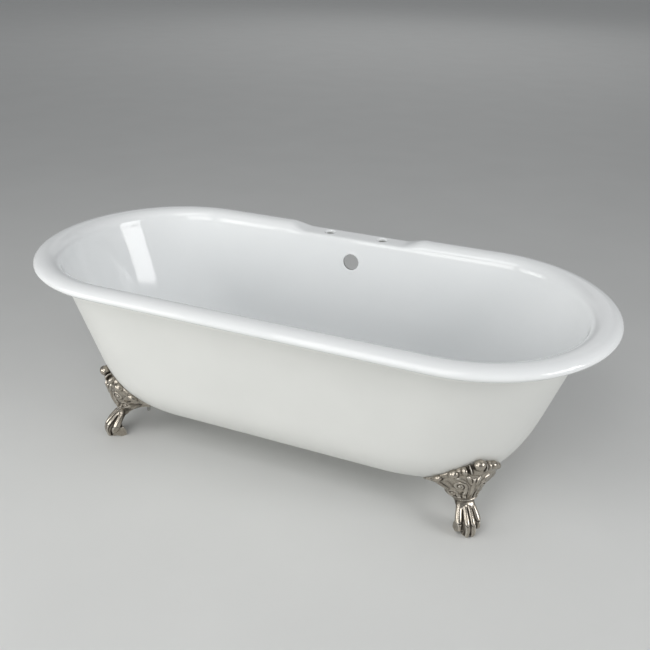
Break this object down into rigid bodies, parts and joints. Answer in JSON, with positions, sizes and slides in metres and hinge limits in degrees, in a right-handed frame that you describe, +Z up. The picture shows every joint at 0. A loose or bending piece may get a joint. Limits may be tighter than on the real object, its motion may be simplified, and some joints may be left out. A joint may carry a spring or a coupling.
{
  "type": "clawfoot bathtub",
  "caption": "Double-ended cast-iron bathtub with a rolled rim, a faucet deck on one long side, an enamelled inside and claw feet bolted under the body.",
  "frame": {"origin": "on the floor, under the middle of the rim", "axes": "+Z up, +X along the tub, +Y towards the long side that carries the faucet deck"},
  "size_m": [1.6764, 0.7624, 0.5601],
  "materials": {
    "enamelled_cast_iron": "glossy white porcelain enamel inside and on the rim, satin off-white paint outside",
    "brushed_nickel": "brushed nickel plating on cast iron",
    "plated_steel": "zinc-plated steel"
  },
  "bodies": {
    "root": {"tub_shell": "enamelled_cast_iron", "foot_front_left": "brushed_nickel", "foot_front_right": "brushed_nickel", "foot_rear_left": "brushed_nickel", "foot_rear_right": "brushed_nickel", "foot_stud_front_left": "plated_steel", "foot_stud_front_right": "plated_steel", "foot_stud_rear_left": "plated_steel", "foot_stud_rear_right": "plated_steel", "foot_washer_front_left": "plated_steel", "foot_washer_front_right": "plated_steel", "foot_washer_rear_left": "plated_steel", "foot_washer_rear_right": "plated_steel", "foot_nut_front_left": "plated_steel", "foot_nut_front_right": "plated_steel", "foot_nut_rear_left": "plated_steel", "foot_nut_rear_right": "plated_steel"}
  },
  "joints": []
}
